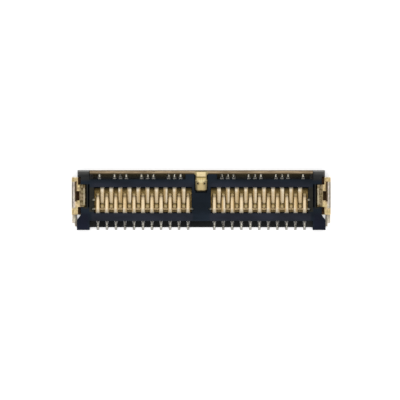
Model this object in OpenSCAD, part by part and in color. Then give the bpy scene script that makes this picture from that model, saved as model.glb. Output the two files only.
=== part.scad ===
// Display connector: a two-row, surface mounted board connector with staggered spring contacts.
// Millimetres. +X is along the rows, +Y towards the rear shield, +Z away from the board.
// The origin is on the board, under the middle of the part.

/* [Contact rows] */
// Distance between neighbouring contacts of one row
pitch = 0.8; // [0.75:0.01:1.2]
// Contacts in the front row of each cavity, one more than in the rear row
front_count = 11; // [4:1:14]
// Distance from the middle of the part to the first front contact
first_contact = 1.16; // [1.1:0.02:1.6]
// Sideways jog that draws the outer two tails of a rear group towards the middle one
tail_jog = 0.27; // [0.1:0.01:0.3]

/* [Cavities] */
// Width of a cavity, from the front wall to the rear wall
cavity_w = 2.3; // [2.2:0.02:2.6]
// Distance from the end of a cavity to the centre of its nearest front contact
cavity_end_gap = 0.32; // [0.28:0.01:0.4]
// Height of the cavity floor above the board
floor_h = 0.3; // [0.2:0.01:0.36]

/* [Housing] */
// Height of the housing
body_h = 1.5; // [1.4:0.02:2]
// Thickness of the long walls
wall_t = 0.7; // [0.6:0.02:0.9]
// Length of an end wall, from the cavity to the side face
end_wall = 1.18; // [1.1:0.02:1.6]
// Reach of the low front ledge in front of the front wall
front_ledge = 0.56; // [0.45:0.01:0.8]
// Reach of the front corner blocks and of the front tails past the ledge
corner_reach = 0.24; // [0.15:0.01:0.4]
// Depth of the recess between the rear wall and the shield
rear_recess = 0.68; // [0.6:0.01:0.9]
// Height of the front and rear ledges
ledge_h = 0.5; // [0.46:0.01:0.7]
// Length of the corner blocks, measured from the side face
corner_len = 0.78; // [0.6:0.02:0.96]
// How far a front corner block stands out past the side face
front_corner_out = 0.34; // [0.2:0.01:0.4]
// How far a rear corner block stands out past the side face
rear_corner_out = 0.28; // [0.1:0.01:0.34]
// Distance from the raised block behind the rear wall to the centre of the nearest rear tail
rear_block_gap = 0.43; // [0.25:0.01:0.6]
// Relief under the solder rows
relief_h = 0.06; // [0.02:0.01:0.1]
// Chamfer along the top edges
edge_cut = 0.05; // [0.02:0.01:0.08]
// Larger chamfer along the rear edge of the rear corner blocks
rear_edge_cut = 0.14; // [0.08:0.01:0.2]

/* [Centre notch] */
// Width of the notch that holds the shield's centre tab
notch_w = 1.2; // [1.14:0.02:1.4]
// Gap under the tab's end
notch_under_gap = 0.06; // [0.03:0.01:0.2]
// Gap between the tab's end and the end of the notch
notch_end_gap = 0.11; // [0.06:0.01:0.2]
// Radius of the notch's two inner corners
notch_r = 0.3; // [0.1:0.02:0.45]

/* [End wall slot] */
// Width of the narrow slot between a cavity and its end bracket
end_slot_w = 0.14; // [0.08:0.01:0.18]
// Distance from the cavity to the slot
end_slot_gap = 0.4; // [0.3:0.01:0.45]
// Length of the slot
end_slot_len = 2.05; // [1.4:0.05:2.6]
// Depth of the slot
end_slot_depth = 0.7; // [0.3:0.02:0.9]

/* [Contacts] */
// Thickness of the contact strip
strip_t = 0.1; // [0.08:0.005:0.12]
// Radius of the contact's bends at the middle of the strip
strip_r = 0.08; // [0.07:0.005:0.09]
// Width of the head, where the contact leaves its wall
head_w = 0.36; // [0.28:0.01:0.38]
// Width of the spring behind the head
beam_w = 0.32; // [0.24:0.01:0.33]
// Width of the spring at its tip
tip_w = 0.26; // [0.18:0.01:0.28]
// Width of the solder tail
tail_w = 0.22; // [0.16:0.01:0.24]
// Depth of the contact's upright part inside the wall
riser_inset = 0.3; // [0.22:0.01:0.36]
// Distance from the top of the housing down to the top of the heads
head_drop = 0.35; // [0.25:0.01:0.42]
// Length of the level head, from its wall
head_len = 0.34; // [0.24:0.01:0.45]
// Distance from the wall to the crease near the tip
crease_reach = 1.53; // [1.46:0.01:1.54]
// How far the crease lies below the head
crease_drop = 0.3; // [0.2:0.01:0.34]
// Distance from the wall to the crest behind the crease
crest_reach = 1.61; // [1.6:0.01:1.66]
// Rise from the crease to the crest
crest_rise = 0.07; // [0.05:0.01:0.09]
// Distance from the wall to the end of the tip
tip_reach = 1.8; // [1.76:0.01:1.86]
// Drop from the crest to the end of the tip
tip_drop = 0.03; // [0.02:0.01:0.08]
// Height of the tail's shoulder above the board, at the middle of the strip
shoulder_h = 0.33; // [0.3:0.01:0.36]
// Reach of a front tail's shoulder out of the wall
front_shoulder = 0.22; // [0.12:0.01:0.3]
// Reach of a rear tail's shoulder out of the wall
rear_shoulder = 0.15; // [0.1:0.01:0.2]
// Length of a tail's sloping part, measured along the board
tail_slope = 0.18; // [0.16:0.01:0.24]
// Clearance round a contact in its slot
slot_gap = 0.02; // [0.01:0.005:0.03]

/* [Rear shield] */
// Thickness of the shield's sheet
shield_t = 0.12; // [0.08:0.01:0.16]
// Width of the flange along the top of the shield, with its bend
flange_w = 0.35; // [0.22:0.01:0.38]
// Height of the gap under the shield through which the tails pass
underpass_h = 0.3; // [0.2:0.01:0.4]
// Width of the legs between the groups of tails
leg_w = 0.5; // [0.3:0.02:0.6]
// Width of the middle leg
middle_leg_w = 1; // [0.6:0.05:1.4]
// Length of the tongues that lie in the rear corner blocks
tongue_len = 0.32; // [0.15:0.01:0.5]
// Height of the tongues
tongue_h = 0.45; // [0.2:0.01:0.55]
// Width of the neck of the centre tab
tab_w = 0.98; // [0.8:0.02:1]
// Width of the pad at the end of the centre tab
pad_w = 1.06; // [1.02:0.02:1.1]
// Length of the pad
pad_len = 1.02; // [0.8:0.02:1.1]
// Reach of the centre tab from the rear face of the shield
tab_reach = 1.87; // [1.7:0.01:1.95]
// Distance from the rear face of the shield to the step in the tab
step_reach = 0.55; // [0.45:0.01:0.65]
// Step down from the flange to the neck of the tab
tab_step = 0.06; // [0.04:0.01:0.08]
// Radius of the pad's two outer corners
pad_corner_r = 0.22; // [0.1:0.02:0.3]
// Drop of the pad from its start to its end
pad_drop = 0.12; // [0.05:0.01:0.16]
// Diameter of the two small holes in the pad
pad_hole_d = 0.13; // [0.08:0.01:0.16]
// Distance between the two small holes
pad_hole_spacing = 0.6; // [0.4:0.02:0.7]

/* [End brackets] */
// Thickness of the bracket's sheet
bracket_t = 0.12; // [0.08:0.01:0.14]
// Radius of the bracket's bends at the middle of the sheet
bracket_r = 0.1; // [0.08:0.01:0.12]
// Distance from the side face of the housing to the outer face of the bracket
bracket_out = 0.79; // [0.76:0.01:1]
// Gap between the side face of the housing and the bracket's rails
bracket_gap = 0.24; // [0.16:0.01:0.28]
// Width of the lip along the outer plate
lip_w = 0.25; // [0.22:0.01:0.3]
// Width of the groove pressed in behind the lip
groove_w = 0.15; // [0.1:0.01:0.16]
// Depth of the groove
groove_depth = 0.1; // [0.06:0.01:0.12]
// Distance from the rear end of the bracket to the rear face of the part
bracket_rear_inset = 0.6; // [0.5:0.01:0.75]
// Length of the bracket's outer plate
bracket_len = 3.34; // [3.1:0.02:3.5]
// Distance from the rear end of the bracket to the groove
groove_rear = 0.42; // [0.2:0.01:0.6]
// Distance from the front end of the bracket to the groove
groove_front = 1.17; // [0.4:0.01:1.3]
// Distance from the rear end of the bracket to the inner plate
plate_inset = 0.68; // [0.6:0.01:0.8]
// Length of the inner plate
plate_len = 1.98; // [1.7:0.01:2.1]
// Width of the inner plate, over the end wall
plate_w = 0.5; // [0.46:0.01:0.54]
// Width of the slope between the inner plate and its leg
slope_w = 0.2; // [0.14:0.01:0.22]
// Drop of the slope
slope_drop = 0.12; // [0.08:0.01:0.2]
// Length of the window in the middle of the bracket
window_len = 0.82; // [0.5:0.01:0.95]
// Distance from the rear end of the inner plate to the window
window_inset = 0.58; // [0.5:0.01:0.7]
// Distance from the side face of the housing to the window
window_gap = 0.1; // [0.04:0.01:0.14]
// Depth of the pressed-in leg below the top of the housing
leg_depth = 1; // [0.7:0.02:1.15]
// Length of the solder foot in front of the outer plate
foot_len = 0.74; // [0.4:0.02:0.9]
// Width of the solder foot
foot_w = 0.25; // [0.2:0.01:0.3]
// Length of the solder tab between the foot and the corner block
foot_tab_len = 1.04; // [0.6:0.02:1.2]

/* [Ground plates] */
// Thickness of the ground plates
ground_t = 0.08; // [0.06:0.005:0.1]
// Distance from the front wall to the ground plate's lip
ground_front_gap = 0.3; // [0.24:0.01:0.34]
// Distance from the long walls to the edges of the ground plate
ground_edge_gap = 0.08; // [0.04:0.01:0.2]
// Thickness of the lip, front to rear
ground_lip_t = 0.14; // [0.08:0.01:0.18]
// Height of the lip above the cavity floor
ground_lip_h = 0.26; // [0.12:0.01:0.3]
// Height of the ears above the cavity floor
ear_h = 0.6; // [0.35:0.01:0.75]
// Thickness of an ear, front to rear
ear_t = 0.18; // [0.1:0.01:0.2]
// Reach of an ear into the wall
ear_in = 0.2; // [0.05:0.01:0.24]
// Reach of an ear into the cavity
ear_out = 0.06; // [0.05:0.01:0.08]
// Distance from the lip to the second ear at the outer end
second_ear = 0.88; // [0.6:0.01:1.3]

/* [Hidden] */
rear_count = front_count - 1;
first_rear = first_contact + pitch / 2;
group_tail_count = 3;
group_count = floor((rear_count - 1) / group_tail_count);

cavity_y = cavity_w / 2;
wall_y = cavity_y + wall_t;
ledge_y = wall_y + front_ledge;
front_y = ledge_y + corner_reach;
plate_y = wall_y + rear_recess;
rear_y = plate_y + shield_t;
flange_y = rear_y - flange_w;
cavity_x0 = first_contact - cavity_end_gap;
cavity_x1 = first_contact + pitch * (front_count - 1) + cavity_end_gap;
side_x = cavity_x1 + end_wall;
corner_x = side_x - corner_len;
seam = 0.02;
over = 1;

bend_facet = 15;
riser_y = cavity_y + riser_inset;
head_z = body_h - head_drop - strip_t / 2;
slot_top = head_z + strip_t / 2 + slot_gap;
tail_top = shoulder_h + strip_t / 2 + slot_gap;
jog_h = 0.2;

bracket_x = side_x + bracket_out;
bracket_rear = rear_y - bracket_rear_inset;
bracket_front = bracket_rear - bracket_len;
bracket_z = body_h - bracket_t / 2;
groove_x = bracket_x - lip_w - groove_w;
rail_x = side_x + bracket_gap;
plate_rear = bracket_rear - plate_inset;
plate_front = plate_rear - plate_len;
window_rear = plate_rear - window_inset;
leg_x = side_x - plate_w + bracket_t / 2;
crest_x = leg_x + slope_w;
leg_end = body_h - leg_depth;

shield_x = corner_x - seam;
shield_z = body_h - shield_t / 2;
shield_r = shield_t / 2 + 0.04;
tab_r = shield_t / 2 + 0.01;
tab_end = rear_y - tab_reach;
pad_start = tab_end + pad_len;
neck_z = shield_z - tab_step;
pad_curl = 0.14;
pad_curl_drop = 0.07;
pad_shoulder = 0.1;
tab_flare = (notch_w - tab_w) / 2 - seam;
notch_end = tab_end - notch_end_gap;
notch_floor = neck_z - pad_drop - pad_curl_drop - shield_t / 2 - notch_under_gap;
rear_block_x = first_rear + tail_jog - rear_block_gap;

lip_y = -cavity_y + ground_front_gap;
ear_y = [lip_y + ground_lip_t / 2, lip_y + second_ear];

function numbered(name, n) = str(name, n < 10 ? "0" : "", n);

// Place of a row's nth contact, counted from the left end: its number from the middle and its side
function from_middle(n, count) = n > count ? n - count - 1 : count - n;
function side_of(n, count) = n > count ? 1 : -1;

// The outer two tails of each group of three are drawn to the middle one
function jog_of(i) = (1 - i % group_tail_count) * tail_jog;

// A bent strip: its middle line with rounded bends, as pairs of a point and the left-hand normal
function unit(v) = v / norm(v);
function left_of(v) = [-v[1], v[0]];
function turned(v, a) = [v[0] * cos(a) - v[1] * sin(a), v[0] * sin(a) + v[1] * cos(a)];
function turn_between(u, v) = atan2(u[0] * v[1] - u[1] * v[0], u * v);
function bend_line(a, b, c, r) =
    let (u = unit(b - a), turn = turn_between(u, unit(c - b)), way = sign(turn))
    let (middle = b - u * r * tan(abs(turn) / 2) + left_of(u) * way * r)
    let (steps = ceil(abs(turn) / bend_facet))
    [for (i = [0:steps]) let (n = turned(left_of(u), turn * i / steps)) [middle - n * way * r, n]];
function strip_line(p, r) =
    let (last = len(p) - 1)
    concat(
        [[p[0], left_of(unit(p[1] - p[0]))]],
        [for (k = [1:last - 1]) each bend_line(p[k - 1], p[k], p[k + 1], r)],
        [[p[last], left_of(unit(p[last] - p[last - 1]))]]
    );
function strip_outline(p, t, r) =
    let (line = strip_line(p, r), last = len(line) - 1)
    concat(
        [for (s = line) s[0] + s[1] * t / 2],
        [for (i = [last:-1:0]) line[i][0] - line[i][1] * t / 2]
    );

// Draws an outline of Y and Z, carried along X over a width about the middle
module along_x(width) {
    translate([-width / 2, 0, 0])
        rotate([90, 0, 90])
            linear_extrude(width)
                children();
}

// Draws an outline of X and Z, carried along Y between two places
module along_y(y0, y1) {
    translate([0, y1, 0])
        rotate([90, 0, 0])
            linear_extrude(y1 - y0)
                children();
}

// A box between two corners
module block(low, high) {
    translate(low)
        cube(high - low);
}

// Cutters for the chamfer of an edge along X or Y
module chamfer_x(x0, x1, y, z, leg) {
    translate([(x0 + x1) / 2, y, z])
        rotate([45, 0, 0])
            cube([x1 - x0, leg * sqrt(2), leg * sqrt(2)], center = true);
}

module chamfer_y(y0, y1, x, z, leg) {
    translate([x, (y0 + y1) / 2, z])
        rotate([0, 45, 0])
            cube([leg * sqrt(2), y1 - y0, leg * sqrt(2)], center = true);
}

// Both ends of the part are mirror images
module both_ends() {
    children();
    mirror([1, 0, 0])
        children();
}

// Housing

// Right-hand half of the full height outline, seen from above
module body_outline() {
    bevel = front_corner_out * 1.4;
    step_y = bracket_rear + seam;
    bevel_y = bracket_front - seam;
    polygon([
        [0, -wall_y],
        [corner_x, -wall_y],
        [corner_x, -front_y],
        [side_x + front_corner_out, -front_y],
        [side_x + front_corner_out, bevel_y - bevel],
        [side_x, bevel_y],
        [side_x, step_y],
        [side_x + rear_corner_out, step_y],
        [side_x + rear_corner_out, rear_y],
        [corner_x, rear_y],
        [corner_x, wall_y],
        [rear_block_x, wall_y],
        [rear_block_x, flange_y - seam],
        [0, flange_y - seam]
    ]);
}

module ledges() {
    block([-corner_x - seam, -ledge_y, 0], [corner_x + seam, -wall_y + seam, ledge_h]);
    block([-corner_x - seam, wall_y - seam, 0], [corner_x + seam, plate_y, ledge_h]);
}

// Block under the flange, behind the middle of the rear wall
module flange_rest() {
    block([-rear_block_x, flange_y - 2 * seam, 0], [rear_block_x, plate_y, body_h - shield_t]);
}

module cavity() {
    block([cavity_x0, -cavity_y, floor_h], [cavity_x1, cavity_y, body_h + over]);
    for (y = [-cavity_y, cavity_y])
        chamfer_x(cavity_x0, cavity_x1, y, body_h, edge_cut);
    for (x = [cavity_x0, cavity_x1])
        chamfer_y(-cavity_y, cavity_y, x, body_h, edge_cut);
}

// Notch for the centre tab, open to the rear
module centre_notch() {
    half = notch_w / 2;
    translate([0, 0, notch_floor])
        linear_extrude(over) {
            for (x = [notch_r - half, half - notch_r])
                translate([x, notch_end + notch_r])
                    circle(notch_r, $fn = 32);
            translate([notch_r - half, notch_end])
                square([notch_w - 2 * notch_r, notch_r + seam]);
            translate([-half, notch_end + notch_r])
                square([notch_w, flange_y - notch_end]);
        }
}

// Slot of one contact, in the frame of the front row, for a head at x and a tail at x + jog
module contact_slot(x, jog, ledge_out) {
    half_tail = tail_w / 2 + slot_gap;
    half_head = head_w / 2 + slot_gap;
    back = -riser_y - strip_t / 2;
    riser_face = -riser_y + strip_t / 2 + slot_gap;
    tail_x = x + jog;
    block([tail_x - half_tail, -wall_y - ledge_out, -over], [tail_x + half_tail, -wall_y, ledge_h + over]);
    block([tail_x - half_tail, -wall_y - seam, -over], [tail_x + half_tail, back + seam, tail_top]);
    block([x - half_head, back, -over], [x + half_head, -cavity_y + seam, slot_top]);
    if (jog != 0) {
        low = min(x - half_head, tail_x - half_tail);
        high = max(x + half_head, tail_x + half_tail);
        block([low, back, -over], [high, riser_face, shoulder_h + jog_h / 2 + slot_gap]);
    }
}

// Pocket over and in the end wall, under the bracket's inner plate and round its leg
module bracket_pocket() {
    line = strip_line(bracket_path(), bracket_r);
    under = [for (s = line) if (s[0][0] < side_x + seam) s[0] + s[1] * bracket_t / 2];
    last = under[len(under) - 1];
    inner_x = leg_x - bracket_t / 2 - seam;
    along_y(plate_front - seam, plate_rear + seam)
        polygon(concat(
            [[side_x + over, body_h + over], [side_x + over, body_h - bracket_t]],
            under,
            [[last[0], leg_end - seam], [inner_x, leg_end - seam], [inner_x, body_h + over]]
        ));
}

// Notch for an ear in the end of a cavity
module ear_notch(x0, y) {
    half = ear_t / 2 + seam;
    block([x0, y - half, floor_h], [x0 + ear_in + 2 * seam, y + half, body_h + over]);
}

module ear_notches() {
    ear_notch(cavity_x0 - ear_in - seam, ear_y[0]);
    for (y = ear_y)
        ear_notch(cavity_x1 - seam, y);
}

module end_slot() {
    x = cavity_x1 + end_slot_gap;
    middle_y = (plate_front + plate_rear) / 2;
    block(
        [x, middle_y - end_slot_len / 2, body_h - end_slot_depth],
        [x + end_slot_w, middle_y + end_slot_len / 2, body_h + over]
    );
}

// Notch in a rear corner block that holds the shield's tongue
module tongue_notch() {
    low = shield_mid_z() - tongue_h / 2 - seam;
    high = shield_mid_z() + tongue_h / 2 + seam;
    block([corner_x - over, plate_y, low], [corner_x + tongue_len, rear_y + over, high]);
}

// Chamfers of the top edges, and of the edge that lies in the shield's bend
module top_chamfers() {
    side_end = bracket_front - front_corner_out * 2;
    chamfer_x(-corner_x, corner_x, -wall_y, body_h, edge_cut);
    chamfer_x(-corner_x, corner_x, -ledge_y, ledge_h, edge_cut);
    chamfer_x(-rear_block_x, rear_block_x, plate_y, body_h - shield_t, shield_r);
    both_ends() {
        chamfer_x(rear_block_x, corner_x, wall_y, body_h, edge_cut);
        chamfer_x(corner_x, side_x + over, -front_y, body_h, edge_cut);
        chamfer_x(corner_x, side_x + over, rear_y, body_h, rear_edge_cut);
        chamfer_y(-front_y - over, -wall_y, corner_x, body_h, edge_cut);
        chamfer_y(wall_y, rear_y + over, corner_x, body_h, edge_cut);
        chamfer_y(wall_y, flange_y, rear_block_x, body_h, edge_cut);
        chamfer_y(-front_y - over, side_end, side_x + front_corner_out, body_h, edge_cut);
        chamfer_y(bracket_rear, rear_y + over, side_x + rear_corner_out, body_h, edge_cut);
    }
}

module reliefs() {
    edge = cavity_y - riser_inset;
    block([-corner_x, -front_y - over, -over], [corner_x, -edge, relief_h]);
    block([-corner_x, edge, -over], [corner_x, rear_y + over, relief_h]);
}

module housing() {
    color([0.1, 0.11, 0.14])
        difference() {
            union() {
                linear_extrude(body_h)
                    both_ends()
                        body_outline();
                ledges();
                flange_rest();
            }
            both_ends() {
                cavity();
                bracket_pocket();
                ear_notches();
                end_slot();
                tongue_notch();
                for (i = [0:front_count - 1])
                    contact_slot(first_contact + pitch * i, 0, front_ledge + over);
                for (i = [0:rear_count - 1])
                    mirror([0, 1, 0])
                        contact_slot(first_rear + pitch * i, jog_of(i), rear_recess + over);
            }
            centre_notch();
            top_chamfers();
            reliefs();
        }
}

// Contacts

// Spring from the riser to the tip, as Y and Z with its wall in front
function spring_path() = [
    [-riser_y, shoulder_h - jog_h / 2],
    [-riser_y, head_z],
    [-cavity_y + head_len, head_z],
    [-cavity_y + crease_reach, head_z - crease_drop],
    [-cavity_y + crest_reach, head_z - crease_drop + crest_rise],
    [-cavity_y + tip_reach, head_z - crease_drop + crest_rise - tip_drop]
];

// Solder tail from its end on the board to the riser
function tail_path(tail_end, shoulder_out) = [
    [-tail_end, strip_t / 2],
    [-wall_y - shoulder_out - tail_slope, strip_t / 2],
    [-wall_y - shoulder_out, shoulder_h],
    [-riser_y, shoulder_h]
];

// The spring narrows from its head to its tip
module spring_outline() {
    neck_y = -cavity_y + head_len;
    tip_y = -cavity_y + tip_reach + over;
    right = [
        [head_w / 2, -riser_y - over],
        [head_w / 2, neck_y],
        [beam_w / 2, neck_y + head_w / 2],
        [tip_w / 2, -cavity_y + tip_reach],
        [tip_w / 2, tip_y]
    ];
    polygon(concat(right, [for (i = [len(right) - 1:-1:0]) [-right[i][0], right[i][1]]]));
}

// One contact with its wall in front: the head is in the middle and the tail is jogged sideways
module contact(jog, tail_end, shoulder_out) {
    low = min(-head_w / 2, jog - tail_w / 2);
    high = max(head_w / 2, jog + tail_w / 2);
    intersection() {
        along_x(head_w)
            polygon(strip_outline(spring_path(), strip_t, strip_r));
        linear_extrude(body_h)
            spring_outline();
    }
    block(
        [low, -riser_y - strip_t / 2, shoulder_h - jog_h / 2],
        [high, -riser_y + strip_t / 2, shoulder_h + jog_h / 2]
    );
    translate([jog, 0, 0])
        along_x(tail_w)
            polygon(strip_outline(tail_path(tail_end, shoulder_out), strip_t, strip_r));
}

module front_contact(n) {
    x = side_of(n, front_count) * (first_contact + pitch * from_middle(n, front_count));
    color([0.88, 0.76, 0.55])
        translate([x, 0, 0])
            contact(0, front_y, front_shoulder);
}

module rear_contact(n) {
    i = from_middle(n, rear_count);
    way = side_of(n, rear_count);
    color([0.84, 0.72, 0.52])
        translate([way * (first_rear + pitch * i), 0, 0])
            mirror([0, 1, 0])
                contact(way * jog_of(i), rear_y - slot_gap, rear_shoulder);
}

// Rear shield

function shield_mid_z() = (underpass_h + body_h) / 2 - shield_t;

function tab_path() = [
    [rear_y - shield_t / 2 - flange_w / 2, shield_z],
    [rear_y - step_reach, shield_z],
    [rear_y - step_reach - tab_step, neck_z],
    [pad_start, neck_z],
    [tab_end + pad_curl, neck_z - pad_drop],
    [tab_end, neck_z - pad_drop - pad_curl_drop]
];

module tab_outline() {
    neck = tab_w / 2;
    pad = pad_w / 2;
    right = [
        [neck + tab_flare, rear_y],
        [neck + tab_flare, flange_y],
        [neck, flange_y - tab_flare],
        [neck, pad_start + pad_shoulder],
        [pad, pad_start],
        each [
            for (a = [0:bend_facet:90])
                [pad - pad_corner_r * (1 - cos(a)), tab_end + pad_corner_r * (1 - sin(a))]
        ]
    ];
    polygon(concat(right, [for (i = [len(right) - 1:-1:0]) [-right[i][0], right[i][1]]]));
}

module centre_tab() {
    difference() {
        intersection() {
            along_x(tab_w + 2 * tab_flare + pad_w)
                polygon(strip_outline(tab_path(), shield_t, tab_r));
            linear_extrude(body_h + over)
                tab_outline();
        }
        for (x = [-pad_hole_spacing / 2, pad_hole_spacing / 2])
            translate([x, pad_start - pad_len / 3, 0])
                cylinder(h = body_h + over, d = pad_hole_d, $fn = 24);
    }
}

module shield_leg(x, width) {
    block([x - width / 2, plate_y, 0], [x + width / 2, rear_y, underpass_h + seam]);
}

module rear_shield() {
    section = [
        [rear_y - shield_t / 2, underpass_h],
        [rear_y - shield_t / 2, shield_z],
        [flange_y, shield_z]
    ];
    tongue_z = shield_mid_z() - tongue_h / 2;
    color([0.62, 0.52, 0.38]) {
        along_x(2 * shield_x)
            polygon(strip_outline(section, shield_t, shield_r));
        centre_tab();
        shield_leg(0, middle_leg_w);
        both_ends() {
            block([shield_x - seam, plate_y, tongue_z], [corner_x + tongue_len, rear_y, tongue_z + tongue_h]);
            for (g = [1:group_count])
                shield_leg(first_rear + pitch * (group_tail_count * g - 0.5), leg_w);
        }
    }
}

// End brackets

// From the board up the outer plate, over the top and down into the end wall, as X and Z
function bracket_path() = [
    [bracket_x - bracket_t / 2, 0],
    [bracket_x - bracket_t / 2, bracket_z],
    [crest_x, bracket_z],
    [leg_x, bracket_z - slope_drop],
    [leg_x, leg_end]
];

module bracket_outline() {
    translate([rail_x, bracket_front])
        square([bracket_x - rail_x, bracket_len]);
    translate([leg_x - over, plate_front])
        square([groove_x - leg_x + over, plate_len]);
}

// Cuts a window between the inner plate and the groove
module bracket_window() {
    block(
        [side_x + window_gap, window_rear - window_len, leg_end],
        [groove_x, window_rear, body_h + over]
    );
}

// Draws a bar along the groove, between two heights and wider or narrower than the groove
module groove_bar(z0, z1, grow) {
    block(
        [groove_x - grow, bracket_front + groove_front - grow, z0],
        [groove_x + groove_w + grow, bracket_rear - groove_rear + grow, z1]
    );
}

// Flange on the board under the bracket, the solder foot in front of it and the tab beside the foot
module bracket_foot() {
    foot_x = bracket_x - foot_w;
    block([side_x + 2 * seam, bracket_front, 0], [bracket_x - bracket_t / 2, bracket_rear, bracket_t]);
    block([foot_x, bracket_front - foot_len, 0], [bracket_x, bracket_front + seam, bracket_t]);
    block(
        [side_x + front_corner_out + seam, bracket_front - foot_tab_len, 0],
        [foot_x + seam, bracket_front + seam, bracket_t]
    );
}

module end_bracket() {
    groove_z = body_h - groove_depth;
    difference() {
        union() {
            intersection() {
                along_y(bracket_front, bracket_rear)
                    polygon(strip_outline(bracket_path(), bracket_t, bracket_r));
                linear_extrude(body_h + over)
                    bracket_outline();
            }
            groove_bar(groove_z - bracket_t / 2, groove_z, bracket_t / 2);
        }
        bracket_window();
        groove_bar(groove_z, body_h + over, 0);
    }
    bracket_foot();
}

module end_bracket_left() {
    color([0.85, 0.74, 0.5])
        mirror([1, 0, 0])
            end_bracket();
}

module end_bracket_right() {
    color([0.85, 0.74, 0.5])
        end_bracket();
}

// Ground plates

module ear(x0, x1, y) {
    block([x0, y - ear_t / 2, floor_h], [x1, y + ear_t / 2, floor_h + ear_h]);
}

module ground_plate() {
    x0 = cavity_x0 + seam;
    x1 = cavity_x1 - seam;
    edge_y = cavity_y - ground_edge_gap;
    block([x0, -edge_y, floor_h], [x1, edge_y, floor_h + ground_t]);
    block([x0, lip_y, floor_h], [x1, lip_y + ground_lip_t, floor_h + ground_lip_h]);
    ear(cavity_x0 - ear_in, cavity_x0 + ear_out, ear_y[0]);
    ear(cavity_x1 - ear_out, cavity_x1 + ear_in, ear_y[0]);
    ear(cavity_x1 - ear_out, cavity_x1 + ear_in, ear_y[1]);
}

module ground_plate_left() {
    color([0.6, 0.48, 0.26])
        mirror([1, 0, 0])
            ground_plate();
}

module ground_plate_right() {
    color([0.6, 0.48, 0.26])
        ground_plate();
}

housing();
rear_shield();
end_bracket_left();
end_bracket_right();
ground_plate_left();
ground_plate_right();
for (n = [1:2 * front_count])
    front_contact(n);
for (n = [1:2 * rear_count])
    rear_contact(n);
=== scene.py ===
# Display connector: a board connector of two spring contact rows in a black moulding.
# Lengths in the dictionaries are millimetres. +X is along the rows, +Y is the rear, and +Z points away
# from the board.
import math

import bmesh
import bpy
import numpy as np
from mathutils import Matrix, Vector


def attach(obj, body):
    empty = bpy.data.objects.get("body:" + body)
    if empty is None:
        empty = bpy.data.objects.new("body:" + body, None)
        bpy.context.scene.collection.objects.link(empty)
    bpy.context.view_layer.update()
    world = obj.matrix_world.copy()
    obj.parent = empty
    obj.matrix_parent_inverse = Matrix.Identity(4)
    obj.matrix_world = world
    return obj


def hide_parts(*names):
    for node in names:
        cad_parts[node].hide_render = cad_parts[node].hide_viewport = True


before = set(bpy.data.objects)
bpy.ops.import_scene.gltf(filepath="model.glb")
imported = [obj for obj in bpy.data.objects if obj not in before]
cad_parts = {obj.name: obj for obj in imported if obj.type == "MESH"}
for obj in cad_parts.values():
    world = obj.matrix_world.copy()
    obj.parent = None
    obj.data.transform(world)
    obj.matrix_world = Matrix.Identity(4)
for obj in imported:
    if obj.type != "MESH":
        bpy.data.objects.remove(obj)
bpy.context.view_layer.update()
mm = 0.001
print("frame loaded:", len(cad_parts), "nodes")


# An input is a value, or another node's output that is linked to it
def fillInputs(tree, node, inputs):
    for key, value in inputs.items():
        if isinstance(value, bpy.types.NodeSocket):
            tree.links.new(value, node.inputs[key])
        else:
            node.inputs[key].default_value = value


def addNode(tree, kind, inputs=None, **settings):
    node = tree.nodes.new("ShaderNode" + kind)
    for name, value in settings.items():
        setattr(node, name, value)
    fillInputs(tree, node, inputs or {})
    return node


def calc(tree, operation, *values, clamp=False):
    return addNode(tree, "Math", dict(enumerate(values)), operation=operation, use_clamp=clamp).outputs[0]


# Colour: first where the mask is 0, second where it is 1
def blend(tree, mask, first, second, kind="MIX"):
    node = addNode(tree, "Mix", {0: mask, 6: first, 7: second}, data_type="RGBA", blend_type=kind)
    return node.outputs[2]


# Number: first where the mask is 0, second where it is 1
def between(tree, mask, first, second):
    return addNode(tree, "Mix", {0: mask, 2: first, 3: second}, data_type="FLOAT").outputs[0]


def brighten(tree, colour, level):
    return addNode(tree, "VectorMath", {0: colour, "Scale": level}, operation="SCALE").outputs[0]


# Step from toLow to toHigh while the value goes from low to high. In the looks below, four numbers in a row
# are these four, and two are low and high, or toLow and toHigh where a noise is spread.
def ramp(tree, value, low, high, toLow=0.0, toHigh=1.0, kind="SMOOTHSTEP"):
    found = addNode(tree, "MapRange", {"Value": value, "From Min": low, "From Max": high,
                                       "To Min": toLow, "To Max": toHigh}, interpolation_type=kind)
    return found.outputs["Result"]


# The colour turns into the paint while the value goes from low to high
def turnInto(tree, value, colour, low, high, paint):
    return blend(tree, ramp(tree, value, low, high), colour, paint)


# Nearly all of a noise lies between low and high
noiseLook = {"low": 0.3, "high": 0.7, "roughness": 0.55}


# A noise stretched to go from toLow to toHigh
def spread(tree, height, toLow, toHigh, kind="SMOOTHSTEP"):
    return ramp(tree, height, noiseLook["low"], noiseLook["high"], toLow, toHigh, kind)


def newGroup(name, inputs, outputs):
    tree = bpy.data.node_groups.new(name, "ShaderNodeTree")
    for label, kind, value in inputs:
        socket = tree.interface.new_socket(name=label, in_out="INPUT", socket_type="NodeSocket" + kind)
        socket.default_value = value
    for label, kind in outputs:
        tree.interface.new_socket(name=label, in_out="OUTPUT", socket_type="NodeSocket" + kind)
    return tree, tree.nodes.new("NodeGroupInput").outputs, tree.nodes.new("NodeGroupOutput").inputs


# Each group below reads a place in mm
def useGroup(tree, group, place, inputs):
    return addNode(tree, "Group", {"Place": place, **inputs}, node_tree=group).outputs


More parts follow.
